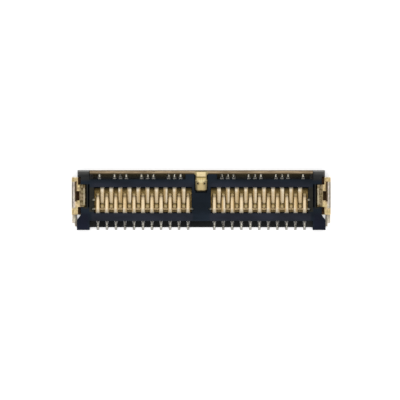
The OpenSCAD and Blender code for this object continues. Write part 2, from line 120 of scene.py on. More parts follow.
# Grain: noise of a size in mm, as a shade from 0 to 1 and as a height
def makeGrain():
    tree, given, made = newGroup("grain", [("Place", "Vector", (0, 0, 0)), ("Stretch", "Vector", (1, 1, 1)),
                                           ("Size", "Float", 0.05), ("Detail", "Float", 4.0)],
                                 [("Shade", "Float"), ("Height", "Float")])
    placed = addNode(tree, "VectorMath", {0: given["Place"], 1: given["Stretch"]}, operation="DIVIDE")
    noise = addNode(tree, "TexNoise", {"Vector": placed.outputs[0], "Detail": given["Detail"],
                                       "Scale": calc(tree, "DIVIDE", 1.0, given["Size"]),
                                       "Roughness": noiseLook["roughness"]}).outputs["Fac"]
    tree.links.new(spread(tree, noise, 0.0, 1.0), made["Shade"])
    tree.links.new(noise, made["Height"])
    return tree


# Zone: 1 inside a box, 0 outside, with a soft edge; the same on both ends of the part
def makeZone():
    tree, given, made = newGroup("zone", [("Place", "Vector", (0, 0, 0)), ("Low", "Vector", (0, 0, 0)),
                                          ("High", "Vector", (1, 1, 1)), ("Soft", "Float", 0.05)],
                                 [("Mask", "Float")])
    split = addNode(tree, "SeparateXYZ", {0: given["Place"]}).outputs
    folded = addNode(tree, "CombineXYZ", {"X": calc(tree, "ABSOLUTE", split["X"]), "Y": split["Y"],
                                          "Z": split["Z"]}).outputs[0]
    half = calc(tree, "MULTIPLY", given["Soft"], 0.5)
    mask = 1.0
    for first, second in ((folded, given["Low"]), (given["High"], folded)):
        inside = addNode(tree, "VectorMath", {0: first, 1: second}, operation="SUBTRACT")
        parts = addNode(tree, "SeparateXYZ", {0: inside.outputs[0]}).outputs
        for axis in "XYZ":
            step = calc(tree, "DIVIDE", calc(tree, "ADD", parts[axis], half), given["Soft"], clamp=True)
            mask = calc(tree, "MULTIPLY", mask, step)
    tree.links.new(mask, made["Mask"])
    return tree


tarnishLook = {"patchDetail": 5.0, "spotSize": 0.22, "spotDetail": 2.0, "spotEdge": (0.60, 0.72)}


# Tarnish: dull patches of a size in mm, and small spots, over a clean colour
def makeTarnish(look):
    tree, given, made = newGroup("tarnish", [("Place", "Vector", (0, 0, 0)), ("Clean", "Color", (1, 1, 1, 1)),
                                             ("Dull", "Color", (0.5, 0.5, 0.5, 1)), ("Size", "Float", 0.4),
                                             ("Amount", "Float", 0.5), ("Spots", "Float", 0.2)],
                                 [("Colour", "Color")])
    patches = useGroup(tree, grain, given["Place"], {"Size": given["Size"], "Detail": look["patchDetail"]})
    spotSize = calc(tree, "MULTIPLY", given["Size"], look["spotSize"])
    spots = useGroup(tree, grain, given["Place"], {"Size": spotSize, "Detail": look["spotDetail"]})
    patchMask = calc(tree, "MULTIPLY", patches["Shade"], given["Amount"])
    spotMask = calc(tree, "MULTIPLY", ramp(tree, spots["Height"], *look["spotEdge"]), given["Spots"])
    mask = calc(tree, "ADD", patchMask, spotMask, clamp=True)
    tree.links.new(blend(tree, mask, given["Clean"], given["Dull"]), made["Colour"])
    return tree


grain = makeGrain()
zone = makeZone()
tarnish = makeTarnish(tarnishLook)
print("shader groups made")


def emptyTree(owner):
    owner.use_nodes = True
    owner.node_tree.nodes.clear()
    return owner.node_tree


def placeInMm(tree):
    where = addNode(tree, "TexCoord").outputs["Object"]
    return addNode(tree, "Mapping", {"Vector": where, "Scale": (1 / mm, 1 / mm, 1 / mm)}).outputs[0]


def newMaterial(name, fixed):
    material = bpy.data.materials.new(name)
    tree = emptyTree(material)
    shader = addNode(tree, "BsdfPrincipled", fixed)
    addNode(tree, "OutputMaterial", {"Surface": shader.outputs[0]})
    return material, tree, shader, placeInMm(tree)


# Roughness and bump come from one noise; the bump's full height is in mm
def dressShader(tree, shader, colour, height, look):
    rough = spread(tree, height, *look["rough"])
    bump = addNode(tree, "Bump", {"Strength": 1.0, "Distance": look["bump"] * mm, "Height": height})
    fillInputs(tree, shader, {"Base Color": colour, "Roughness": rough, "Normal": bump.outputs[0]})
    return rough


def boxMask(tree, place, low, high, soft):
    return useGroup(tree, zone, place, {"Low": low, "High": high, "Soft": soft})["Mask"]


# Each zone is (low corner, high corner, soft edge, name of its paint), and lies over what came before it
def paintZones(tree, place, colour, zones, paints, strength=None):
    for low, high, soft, paint in zones:
        mask = boxMask(tree, place, low, high, soft)
        if strength is not None:
            mask = calc(tree, "MULTIPLY", mask, strength)
        colour = blend(tree, mask, colour, paints[paint])
    return colour


plasticLook = {
    "deep": (0.0060, 0.0122, 0.0210, 1), "pale": (0.0098, 0.0165, 0.0270, 1),
    "wall": (0.0185, 0.0215, 0.0330, 1), "endWall": (0.0230, 0.0220, 0.0165, 1),
    "frontLedge": (0.0112, 0.0126, 0.0130, 1), "frontLedgeEnd": (0.032, 0.034, 0.033, 1),
    # Painted light: the rear ledge and its ends are lifted so that the recess behind the wall is less dark
    "rearLedge": (0.0400, 0.0390, 0.0380, 1), "rearLedgeEnd": (0.16, 0.155, 0.145, 1),
    # Painted light: a warm glow on the rear ledge under the shield. Painted shadow: the black edge of the
    # notch
    "rearGlow": (0.115, 0.095, 0.050, 1), "notchShadow": (0.0018, 0.0020, 0.0012, 1),
    "frontCorner": (0.0070, 0.0092, 0.0215, 1), "rearCorner": (0.0255, 0.0270, 0.0275, 1),
    # Painted highlight on the rear top edges of the corners
    "rearCornerHighlight": (0.125, 0.122, 0.114, 1), "rearCornerEdgeHighlight": (0.280, 0.278, 0.262, 1),
    "speck": (0.060, 0.062, 0.066, 1), "gloss": 0.12,
    "zones": [
        ((0.75, -1.82, 1.2), (9.7, -1.15, 2), 0.15, "wall"),
        ((0.75, 1.00, 1.2), (9.7, 1.50, 2), 0.50, "wall"),
        ((-1, -2.50, -1), (9.86, -1.80, 0.58), 0.05, "frontLedge"),
        # The next three zones paint light on the rear ledge, under the shield and at the ledge's ends
        ((-1, 1.83, -1), (9.86, 2.60, 0.58), 0.05, "rearLedge"),
        ((-1, 2.08, -1), (9.86, 3.00, 0.70), 0.25, "rearGlow"),
        ((9.62, 1.83, -1), (10.02, 2.40, 0.58), 0.06, "rearLedgeEnd"),
        ((9.30, -2.50, -1), (9.95, -1.80, 0.58), 0.06, "frontLedgeEnd"),
        ((9.48, -1.05, 1.2), (9.90, 1.12, 2), 0.10, "endWall"),
        ((10.05, -0.75, 0.9), (10.42, 1.40, 2), 0.06, "endWall"),
        ((9.86, 1.75, 1.2), (12, 3, 2), 0.25, "rearCorner"),
        ((9.95, -3, -1), (12, -1.20, 2), 0.30, "frontCorner"),
    ],
    # Painted highlight on the rear top edges of the corners, in patches
    "highlightZones": [
        ((9.9, 2.38, 1), (12, 3, 2), 0.40, "rearCornerHighlight"),
        ((10.84, 2.16, 1), (12, 3, 2), 0.20, "rearCornerHighlight"),
        ((9.9, 2.51, 1), (12, 3, 2), 0.06, "rearCornerEdgeHighlight"),
    ],
    # The painted shadow at the edge of the notch under the tab's end
    "notchShadowBox": ((-1, 0.65, 1.2), (0.50, 0.80, 2), 0.07),
    "flow": {"Stretch": (3.0, 1.0, 1.0), "Size": 1.1, "Detail": 5.0},
    "flowMarks": (0.72, 1.30), "highlightPatches": (0.3, 0.6, 0.55, 1.0),
    "grain": {"Size": 0.035, "Detail": 3.0}, "specks": (0.66, 0.74, 0.0, 0.5),
    "rough": (0.42, 0.60), "bump": 0.004,
}


# Black moulding: blue-black with flow marks along the rows and a fine grain. The rear ledge carries painted
# light: lifted so that its recess is less dark, paler at its ends and with a warm glow under the shield. The
# rear corners carry a patchy painted highlight on their top edges. A painted shadow makes the edge of the
# notch black, and being metallic there it has no plastic gloss.
def makePlastic(look):
    material, tree, shader, place = newMaterial("housingPlastic", {"Specular IOR Level": look["gloss"]})
    flow = useGroup(tree, grain, place, look["flow"])
    fine = useGroup(tree, grain, place, look["grain"])
    colour = blend(tree, flow["Shade"], look["deep"], look["pale"])
    colour = paintZones(tree, place, colour, look["zones"], look)
    colour = brighten(tree, colour, spread(tree, flow["Height"], *look["flowMarks"]))
    colour = blend(tree, ramp(tree, fine["Height"], *look["specks"]), colour, look["speck"])
    # Patches of the painted highlight on the rear corners
    paintedShading = ramp(tree, flow["Height"], *look["highlightPatches"])
    colour = paintZones(tree, place, colour, look["highlightZones"], look, paintedShading)
    # Painted shadow at the notch's edge; metallic there, so it has no plastic gloss
    notchShadowMask = boxMask(tree, place, *look["notchShadowBox"])
    tree.links.new(notchShadowMask, shader.inputs["Metallic"])
    dressShader(tree, shader, blend(tree, notchShadowMask, colour, look["notchShadow"]), fine["Height"], look)
    return material


# Paints are (low, high, colour), in pairs for the front row and the rear row. Low and high are lengths along
# the strip from its head, but across it from its painted highlight line for the painted side shade, and from
# the middle of the part for the painted wall shadows, the tin and its ends.
contactLook = {
    "gold": {"Clean": (0.80, 0.61, 0.35, 1), "Dull": (0.65, 0.46, 0.22, 1),
             "Size": 0.5, "Amount": 0.35, "Spots": 0.25},
    "tin": {"Clean": (0.95, 0.92, 0.82, 1), "Dull": (0.64, 0.61, 0.51, 1),
            "Size": 0.25, "Amount": 0.5, "Spots": 0.4},
    "plating": (0.88, 0.74, 0.54, 1),
    # Painted shade on the sides, away from a painted highlight line along each strip
    "side": (0.02, 0.20, (0.54, 0.375, 0.175, 1)), "highlightShift": 0.14,
    # Painted highlight on the flat heads
    "heads": ((0.22, -0.05, (0.80, 0.69, 0.51, 1)), (0.22, -0.05, (0.88, 0.77, 0.58, 1))),
    # Painted shade where the beam bends down, and in the rear row's crease
    "paintedShading": ((1.20, 1.29, (0.56, 0.42, 0.21, 1)), (0.90, 1.22, (0.44, 0.33, 0.155, 1))),
    "creaseFrom": (1.20, 1.26), "creaseTo": (1.28, 1.34), "crease": (0.24, 0.165, 0.060, 1),
    # Painted shade on the front row's tips and a painted highlight on the rear row's tips
    "tipShadeAndHighlight": ((1.35, 1.47, (0.15, 0.11, 0.050, 1)), (1.37, 1.49, (0.72, 0.55, 0.31, 1))),
    # Painted shadow next to the walls
    "walls": ((0.96, 1.13, (0.40, 0.36, 0.29, 1)), (0.87, 1.11, (0.20, 0.18, 0.145, 1))),
    # Painted shade on the tin's sides and next to the wall
    "tinned": (1.45, 1.60), "tinSideShade": (0.03, 0.10, (0.23, 0.22, 0.19, 1)), "tinHighlightShift": 0.16,
    "tinShade": (0.17, 0.16, 0.14, 1), "tinShadeEnds": (1.88, 2.17),
    "tinEnd": (2.36, 2.56, (0.52, 0.51, 0.47, 1)),
    "piece": {"Stretch": (1.0, 40.0, 40.0), "Size": 1.3, "Detail": 1.0},
    "rolled": {"Stretch": (1.0, 14.0, 14.0), "Size": 0.009, "Detail": 2.0},
    # The row levels are painted light: the rear row is brighter than the front row
    "rolledShade": (0.93, 1.05), "rowLightLevels": (0.87, 1.085),
    "rough": (0.24, 0.38), "tinRough": -0.12, "bump": 0.0006,
}


# Each row's colour turns into that row's paint while the value goes from low to high
def perRow(tree, rear, value, colour, rows):
    return blend(tree, rear, *[turnInto(tree, value, colour, *row) for row in rows])


# How far a point is from its strip's painted highlight line, which lies up to the shift to one side of the
# middle
def fromHighlightLine(tree, across, height, shift):
    highlightLine = spread(tree, height, -shift, shift, "LINEAR")
    return calc(tree, "ABSOLUTE", calc(tree, "SUBTRACT", across, highlightLine))


# Contacts: gold, with browner painted shade on the sides away from a painted highlight line along each strip,
# and a paler painted highlight on the flat head. Towards the tip painted shade darkens the beam where it
# bends down, the front row's tip is dark with painted shade, and the rear row has painted shade in the crease
# before a brighter painted highlight on the tip. Painted shadow darkens the strips next to the walls, and
# painted light makes the rear row brighter than the front row. The solder tail is greyish tin, with painted
# shade on its sides and next to the wall.
# The strip map holds the place across the strip from its middle, and along it from the end of the head,
# in mm. The attribute rearRow is 1 on the rear row and 0 on the front row.
def makeContactMetal(look):
    material, tree, shader, place = newMaterial("contactGold", {"Metallic": 1.0})
    strip = addNode(tree, "SeparateXYZ", {0: addNode(tree, "UVMap", uv_map="strip").outputs[0]}).outputs
    across, along = strip["X"], strip["Y"]
    rear = addNode(tree, "Attribute", attribute_name="rearRow").outputs["Fac"]
    reach = calc(tree, "ABSOLUTE", addNode(tree, "SeparateXYZ", {0: place}).outputs["Y"])
    gold = useGroup(tree, tarnish, place, look["gold"])
    tin = useGroup(tree, tarnish, place, look["tin"])
    rolled = useGroup(tree, grain, place, look["rolled"])
    piece = useGroup(tree, grain, place, look["piece"])
    colour = blend(tree, piece["Shade"], gold["Colour"], look["plating"])
    colour = perRow(tree, rear, along, colour, look["heads"])
    offHighlightLine = fromHighlightLine(tree, across, piece["Height"], look["highlightShift"])
    colour = turnInto(tree, offHighlightLine, colour, *look["side"])
    colour = perRow(tree, rear, along, colour, look["paintedShading"])
    fromCrease = ramp(tree, along, *look["creaseFrom"])
    toCrease = ramp(tree, along, *look["creaseTo"], 1.0, 0.0)
    crease = calc(tree, "MULTIPLY", calc(tree, "MULTIPLY", fromCrease, toCrease), rear)
    colour = blend(tree, crease, colour, look["crease"])
    colour = perRow(tree, rear, along, colour, look["tipShadeAndHighlight"])
    colour = perRow(tree, rear, reach, colour, look["walls"])
    offHighlightLine = fromHighlightLine(tree, across, piece["Height"], look["tinHighlightShift"])
    tail = turnInto(tree, offHighlightLine, tin["Colour"], *look["tinSideShade"])
    tail = turnInto(tree, reach, look["tinShade"], *look["tinShadeEnds"], tail)
    tail = turnInto(tree, reach, tail, *look["tinEnd"])
    tinned = ramp(tree, reach, *look["tinned"])
    colour = blend(tree, tinned, colour, tail)
    level = calc(tree, "MULTIPLY", spread(tree, rolled["Height"], *look["rolledShade"]),
                 between(tree, rear, *look["rowLightLevels"]))
    rough = dressShader(tree, shader, brighten(tree, colour, level), rolled["Height"], look)
    rough = calc(tree, "MULTIPLY_ADD", tinned, look["tinRough"], rough)
    tree.links.new(rough, shader.inputs["Roughness"])
    return material


tabHalf = 0.53  # half the width of the shield's tab

shieldLook = {
    "strip": {"Clean": (0.480, 0.360, 0.225, 1), "Dull": (0.185, 0.133, 0.080, 1),
              "Size": 0.3, "Amount": 0.9, "Spots": 0.4},
    # Painted shade on the strip's front edge and on its rear bend
    "stripFrontShade": (0.10, 0.074, 0.042, 1), "stripBendShade": (0.19, 0.150, 0.100, 1), "stripDrawn": (5, 1, 1),
    "tab": {"Clean": (0.96, 0.79, 0.47, 1), "Dull": (0.66, 0.50, 0.24, 1),
            "Size": 0.22, "Amount": 0.35, "Spots": 0.4},
    # Painted shade on the tab's rear bend, its step, round its dimples and along its sides; a painted
    # highlight on its fold
    "tabBendShade": (0.12, 0.095, 0.045, 1), "tabRise": (0.82, 0.64, 0.30, 1), "tabStepShade": (0.42, 0.31, 0.11, 1),
    "tabPad": (0.76, 0.59, 0.29, 1), "tabFoldHighlight": (1.0, 0.84, 0.47, 1), "tabDimpleShade": (0.38, 0.28, 0.13, 1),
    "tabSideShade": (0.34, 0.27, 0.135, 1),
    "zones": [
        ((-1, 2.20, 1.2), (12, 2.40, 2), 0.08, "stripFrontShade"),
        ((-1, 2.56, -1), (12, 3, 2), 0.08, "stripBendShade"),
        ((-1, 0, 0.9), (tabHalf, 2.56, 2), 0.12, "tabGold"),
        ((-1, 2.49, 1.44), (tabHalf, 3, 2), 0.10, "tabBendShade"),
        ((-1, 1.70, 0.9), (tabHalf, 2.00, 2), 0.06, "tabRise"),
        ((-1, 1.95, 0.9), (tabHalf, 2.07, 2), 0.06, "tabStepShade"),
        ((-1, 0, 0.9), (tabHalf, 1.62, 2), 0.12, "tabPad"),
        ((-1, 1.54, 0.9), (tabHalf, 1.79, 2), 0.06, "tabFoldHighlight"),
        ((0.18, 1.34, 0.9), (0.37, 1.61, 2), 0.08, "tabDimpleShade"),
        ((0.39, 1.75, 0.9), (0.60, 2.48, 2), 0.10, "tabSideShade"),
        ((0.30, 0, 0.9), (0.60, 1.75, 2), 0.16, "tabSideShade"),
    ],
    "streaks": {"Stretch": (1.0, 9.0, 9.0), "Size": 0.10, "Detail": 3.0},
    "streakShade": (0.35, 0.65, 0.86, 1.08), "streakBox": ((-1, 0, 0.9), (tabHalf, 1.98, 2), 0.06),
    "grain": {"Stretch": (6.0, 1.0, 1.0), "Size": 0.03, "Detail": 3.0}, "rough": (0.30, 0.46), "bump": 0.002,
}


# Rear shield: a stained brown strip with stains drawn out along it, and a streaky gold centre tab. Painted
# shade lies on the strip's front edge and rear bend, and on the tab's rear bend, step and sides and round its
# two dimples; a painted highlight lies on the tab's fold.
def makeShieldMetal(look):
    material, tree, shader, place = newMaterial("shieldPlating", {"Metallic": 1.0})
    drawn = addNode(tree, "VectorMath", {0: place, 1: look["stripDrawn"]}, operation="DIVIDE").outputs[0]
    strip = useGroup(tree, tarnish, drawn, look["strip"])
    tab = useGroup(tree, tarnish, place, look["tab"])
    fine = useGroup(tree, grain, place, look["grain"])
    streaks = useGroup(tree, grain, place, look["streaks"])
    paints = {**look, "tabGold": tab["Colour"]}
    colour = paintZones(tree, place, strip["Colour"], look["zones"], paints)
    onTab = boxMask(tree, place, *look["streakBox"])
    level = between(tree, onTab, 1.0, ramp(tree, streaks["Height"], *look["streakShade"]))
    dressShader(tree, shader, brighten(tree, colour, level), fine["Height"], look)
    return material


bracketLook = {
    "gold": {"Clean": (0.82, 0.67, 0.39, 1), "Dull": (0.30, 0.21, 0.08, 1),
             "Size": 0.45, "Amount": 0.5, "Spots": 0.4},
    "lip": {"Clean": (0.84, 0.79, 0.73, 1), "Dull": (0.66, 0.58, 0.49, 1),
            "Size": 0.5, "Amount": 0.7, "Spots": 0.3},
    "plate": {"Clean": (0.41, 0.335, 0.21, 1), "Dull": (0.08, 0.056, 0.018, 1),
              "Size": 0.22, "Amount": 1.0, "Spots": 0.5},
    # Painted highlight at the rear end and along the leg's bend; painted shade on the outer bend, beside the
    # groove and under the top, and a painted shadow in the groove
    "rail": (0.72, 0.58, 0.33, 1), "edge": (0.205, 0.190, 0.168, 1), "rearEndHighlight": (0.88, 0.80, 0.66, 1),
    "under": (0.095, 0.054, 0.029, 1), "foot": (0.78, 0.73, 0.60, 1), "legBendHighlight": (0.50, 0.44, 0.31, 1),
    "groove": (0.10, 0.07, 0.04, 1), "grooveSide": (0.34, 0.25, 0.14, 1), "tab": (0.36, 0.33, 0.28, 1),
    "zones": [
        ((11.02, -1.40, 1.2), (11.21, 1.90, 2), 0.08, "rail"),
        ((11.15, -0.70, 1.36), (12, 1.60, 2), 0.12, "lipSilver"),
        ((11.33, -0.70, 1.38), (12, 1.60, 2), 0.12, "edge"),
        ((10.8, 1.98, 0.8), (12, 3, 2), 0.08, "rearEndHighlight"),
        ((0, -1.25, -1), (11.31, 3, 0.3), 0.03, "under"),
        ((11.00, -3.00, -1), (12, -1.29, 0.4), 0.06, "foot"),
        ((10.00, -0.70, -1), (10.74, 1.45, 2), 0.05, "plateGold"),
        ((10.29, -0.40, 1.2), (10.42, 1.05, 2), 0.05, "legBendHighlight"),
        ((10.97, -0.18, 1.2), (11.06, 1.70, 2), 0.03, "grooveSide"),
        ((11.03, -0.16, 1.2), (11.18, 1.67, 1.47), 0.03, "groove"),
        ((10.90, -3.00, -1), (11.19, -1.25, 0.4), 0.04, "tab"),
    ],
    "mottle": {"Stretch": (1.0, 1.6, 1.6), "Size": 0.18, "Detail": 3.0},
    "mottleShade": (0.34, 0.66, 0.76, 1.12),
    "hue": {"Stretch": (1.4, 1.0, 1.0), "Size": 0.30, "Detail": 2.0},
    "rosy": (1.0, 0.94, 0.94, 1), "olive": (0.98, 0.97, 0.86, 1),
    "grain": {"Stretch": (1.0, 6.0, 1.0), "Size": 0.03, "Detail": 3.0}, "rough": (0.28, 0.44), "bump": 0.002,
}


# End brackets: a gold top with a painted highlight at its rear end, a silvery lip with painted shade on its
# outer bend, a painted shadow in the groove with painted shade beside it and under the top, a pale foot, and
# a blotchy inner plate with a bright painted highlight along the bend of its leg
def makeBracketMetal(look):
    material, tree, shader, place = newMaterial("bracketGold", {"Metallic": 1.0})
    gold = useGroup(tree, tarnish, place, look["gold"])
    lip = useGroup(tree, tarnish, place, look["lip"])
    plate = useGroup(tree, tarnish, place, look["plate"])
    fine = useGroup(tree, grain, place, look["grain"])
    mottle = useGroup(tree, grain, place, look["mottle"])
    hue = useGroup(tree, grain, place, look["hue"])
    paints = {**look, "lipSilver": lip["Colour"], "plateGold": plate["Colour"]}
    colour = paintZones(tree, place, gold["Colour"], look["zones"], paints)
    colour = brighten(tree, colour, ramp(tree, mottle["Height"], *look["mottleShade"]))
    colour = blend(tree, 1.0, colour, blend(tree, hue["Shade"], look["rosy"], look["olive"]), "MULTIPLY")
    dressShader(tree, shader, colour, fine["Height"], look)
    return material


groundLook = {
    "floor": {"Clean": (0.57, 0.400, 0.155, 1), "Dull": (0.25, 0.150, 0.045, 1),
              "Size": 0.5, "Amount": 0.8, "Spots": 0.3},
    # Painted shade towards the walls and a painted highlight on the lip
    "rearShade": (0.09, 0.067, 0.026, 1), "frontShade": (0.27, 0.19, 0.085, 1), "lip": (0.88, 0.66, 0.36, 1),
    "ear": (0.45, 0.42, 0.33, 1), "earEnd": (0.15, 0.15, 0.14, 1),
    "zones": [
        ((-1, 0.82, -1), (12, 2, 2), 0.35, "rearShade"),
        ((-1, -2, -1), (12, -0.86, 2), 0.08, "frontShade"),
        ((-1, -0.90, 0.40), (12, -0.68, 2), 0.05, "lip"),
        ((-1, -2, 0.6), (0.93, 2, 2), 0.04, "ear"),
        ((9.40, -2, 0.6), (12, 2, 2), 0.04, "ear"),
        ((-1, -2, 0.6), (0.80, 2, 2), 0.06, "earEnd"),
        ((9.64, -2, 0.6), (12, 2, 2), 0.06, "earEnd"),
    ],
    "grain": {"Size": 0.04, "Detail": 3.0}, "rough": (0.38, 0.55), "bump": 0.003,
}


# Ground plates: brown gold under the springs, with painted shade towards the walls, a painted highlight on
# the lip and greyish ears
def makeGroundMetal(look):
    material, tree, shader, place = newMaterial("groundGold", {"Metallic": 1.0})
    floor = useGroup(tree, tarnish, place, look["floor"])
    fine = useGroup(tree, grain, place, look["grain"])
    colour = paintZones(tree, place, floor["Colour"], look["zones"], look)
    dressShader(tree, shader, colour, fine["Height"], look)
    return material


plastic = makePlastic(plasticLook)
contactMetal = makeContactMetal(contactLook)
shieldMetal = makeShieldMetal(shieldLook)
bracketMetal = makeBracketMetal(bracketLook)
groundMetal = makeGroundMetal(groundLook)
print("materials made")


def newObject(name, mesh, material, node):
    piece = bpy.data.objects.new(name, mesh)
    bpy.context.scene.collection.objects.link(piece)
    mesh.materials.append(material)
    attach(piece, "root")
    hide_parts(node)
    return piece


def smooth(mesh, degrees):
    mesh.shade_smooth()
    mesh.set_sharp_from_angle(angle=math.radians(degrees))


def readPlaces(mesh):
    places = np.empty(len(mesh.vertices) * 3)
    mesh.vertices.foreach_get("co", places)
    return places.reshape(-1, 3)


# Cuts along a sheet, on both sides of its middle, that give its sides points to curl at
def cutSides(work, cuts):
    for x in [side * cut for cut in cuts for side in (-1, 1)]:
        everything = work.verts[:] + work.edges[:] + work.faces[:]
        bmesh.ops.bisect_plane(work, geom=everything, dist=1e-7, plane_co=(x * mm, 0, 0), plane_no=(1, 0, 0))


# Sides of a sheet curled down: past x0 on both sides, and only in front of y0, a point sinks by
# drop ((|x| - x0) / width)^2
def curlSides(mesh, curl):
    places = readPlaces(mesh)
    x, y, z = places.T / mm
    within = (np.abs(x) < curl["end"]) & (y < curl["inFrontOf"]) & (z > curl["above"])
    outward = np.clip((np.abs(x) - curl["start"]) / curl["width"], 0, None)
    places[:, 2] -= np.where(within, curl["drop"] * outward ** 2, 0) * mm
    mesh.vertices.foreach_set("co", places.ravel())
    mesh.update()


# A copy of a node's own mesh, with its loose triangles merged, flat faces joined and its edges rounded
def dressedCopy(node, settings, material):
    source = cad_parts[node].data
    places = readPlaces(source)
    corners = np.empty(len(source.polygons) * 3, int)
    source.polygons.foreach_get("vertices", corners)
    rounded = np.round(places / (settings["merge"] * mm))
    first, back = np.unique(rounded, axis=0, return_index=True, return_inverse=True)[1:]
    faces = back.reshape(-1)[corners].reshape(-1, 3)
    whole = (faces[:, 0] != faces[:, 1]) & (faces[:, 1] != faces[:, 2]) & (faces[:, 2] != faces[:, 0])
    mesh = bpy.data.meshes.new(node + "_dressed")
    mesh.from_pydata(places[first], [], faces[whole])
    work = bmesh.new()
    work.from_mesh(mesh)
    flat = math.radians(settings["flat"])
    bmesh.ops.dissolve_limit(work, angle_limit=flat, verts=work.verts, edges=work.edges)
    if "curl" in settings:
        cutSides(work, settings["curl"]["cuts"])
    work.to_mesh(mesh)
    work.free()
    if "curl" in settings:
        curlSides(mesh, settings["curl"])
    smooth(mesh, settings["sharp"])
    piece = newObject(node + "_piece", mesh, material, node)
    bevel = piece.modifiers.new("roundedEdges", "BEVEL")
    bevel.width = settings["round"] * mm
    bevel.segments = settings["steps"]
    bevel.limit_method = "ANGLE"
    bevel.angle_limit = math.radians(settings["sharp"])
    bevel.use_clamp_overlap = True
    bevel.harden_normals = True


plainShape = {"merge": 0.0005, "flat": 0.5, "sharp": 32, "round": 0.012, "steps": 2}
bracketShape = {**plainShape, "round": 0.03}
shieldShape = {**plainShape, "curl": {"cuts": (0.34, 0.39, 0.44), "start": 0.34, "end": 0.625, "width": 0.19,
                                      "drop": 0.05, "inFrontOf": 2.13, "above": 0.9}}

dressedCopy("housing", plainShape, plastic)
dressedCopy("rear_shield", shieldShape, shieldMetal)
for side in ("left", "right"):
    dressedCopy("end_bracket_" + side, bracketShape, bracketMetal)
    dressedCopy("ground_plate_" + side, plainShape, groundMetal)
print("housing, shield, brackets and ground plates dressed")


# A line with rounded bends. Each corner c between unit directions u and v, with a turn a, becomes the arc
# c - u r tan(a/2) + r (u sin(t) + n (1 - cos(t))) for t from 0 to a, where n is u turned towards v.
# Also its directions, its lengths so far, and the lengths at its start, at each corner and at its end.
def bentLine(points, radii, arcSteps):
    legs = np.diff(points, axis=0)
    ways = legs / np.linalg.norm(legs, axis=1)[:, None]
    line, tangents, marks = [points[:1]], [ways[:1]], [0]
    for corner, u, v, radius in zip(points[1:-1], ways[:-1], ways[1:], radii):
        turn = math.atan2(u[0] * v[1] - u[1] * v[0], u @ v)
        n = np.array([-u[1], u[0]]) * np.sign(turn)
        t = np.linspace(0, abs(turn), arcSteps + 1)[:, None]
        start = corner - u * radius * math.tan(abs(turn) / 2)
        marks.append(1 + (len(marks) - 1) * (arcSteps + 1) + arcSteps // 2)
        line.append(start + radius * (u * np.sin(t) + n * (1 - np.cos(t))))
        tangents.append(u * np.cos(t) + n * np.sin(t))
    line, tangents = np.vstack(line + [points[-1:]]), np.vstack(tangents + [ways[-1:]])
    along = np.concatenate([[0], np.cumsum(np.linalg.norm(np.diff(line, axis=0), axis=1))])
    return line, tangents, along, along[marks + [len(line) - 1]]


# Values given at corner numbers, read at the stations, with straight runs between them
def atStations(stations, marks, table):
    corners, values = np.array(table, float).T
    return np.interp(stations, np.interp(corners, np.arange(len(marks)), marks), values)


# A strip carried along a bent line in the plane of Y and Z. A section's point at the angle q is
# (a sgn(cos q) |cos q|^(2/p), b sgn(sin q) |sin q|^(2/p)), with a half the width at that place, b half the
# thickness and p the squareness. Both shrink in a quarter circle at the cut ends, and the middle moves
# sideways by the jog. The way is 1 for the front row and -1 for the rear row, which is its mirror image.
def stripMesh(name, shape, path, jog, middle, way):
    radii = [shape["bendRadius"]] * (len(path) - 2)
    for corner, radius in shape["wideBends"]:
        radii[corner - 1] = radius
    line, tangents, along, marks = bentLine(np.array(path, float), radii, shape["arcSteps"])
    length, endRound = along[-1], shape["endRound"]
    nearEnd = np.linspace(0, endRound, 3)[1:]
    stations = np.concatenate([along, nearEnd, length - nearEnd, np.arange(0, length, shape["step"])])
    stations = np.unique(np.round(stations, 5))
    centre = np.column_stack([np.interp(stations, along, line[:, k]) for k in (0, 1)])
    ahead = np.column_stack([np.interp(stations, along, tangents[:, k]) for k in (0, 1)])
    ahead /= np.linalg.norm(ahead, axis=1)[:, None]
    half = atStations(stations, marks, shape["widths"]) / 2
    aside = atStations(stations, marks, shape["jogShare"]) * jog
    ends = np.clip(np.minimum(stations, length - stations) / endRound, 0, 1)
    inset = endRound * (1 - np.sqrt(1 - (1 - ends) ** 2)) * shape["endInset"]
    q = (np.arange(shape["sectionSteps"]) + 0.5) * 2 * np.pi / shape["sectionSteps"]
    power = 2 / shape["squareness"]
    across = (half - inset)[:, None] * np.sign(np.cos(q)) * np.abs(np.cos(q)) ** power
    up = (shape["thickness"] / 2 - inset)[:, None] * np.sign(np.sin(q)) * np.abs(np.sin(q)) ** power
    places = np.stack([middle + aside[:, None] + across, (centre[:, :1] - ahead[:, 1:] * up) * way,
                       centre[:, 1:] + ahead[:, :1] * up], axis=-1)
    rows, columns = np.meshgrid(np.arange(len(stations) - 1), np.arange(len(q)), indexing="ij")
    nextColumn = (columns + 1) % len(q)
    quads = np.stack([rows * len(q) + columns, rows * len(q) + nextColumn,
                      (rows + 1) * len(q) + nextColumn, (rows + 1) * len(q) + columns], axis=-1)
    last = (len(stations) - 1) * len(q)
    caps = np.array([np.arange(len(q))[::-1], np.arange(last, last + len(q))])
    faces = quads.reshape(-1, 4)[:, ::-way].tolist() + caps[:, ::-way].tolist()
    mesh = bpy.data.meshes.new(name)
    mesh.from_pydata((places * mm).reshape(-1, 3), [], faces)
    fromHead = np.broadcast_to((stations - marks[shape["headCorner"]])[:, None], across.shape)
    table = np.stack([across, fromHead], axis=-1).reshape(-1, 2)
    corners = np.empty(len(mesh.loops), int)
    mesh.loops.foreach_get("vertex_index", corners)
    mesh.uv_layers.new(name="strip").data.foreach_set("uv", table[corners].ravel())
    isRear = mesh.attributes.new("rearRow", "FLOAT", "POINT")
    isRear.data.foreach_set("value", np.full(len(mesh.vertices), float(way < 0)))
    smooth(mesh, shape["sharp"])
    return mesh


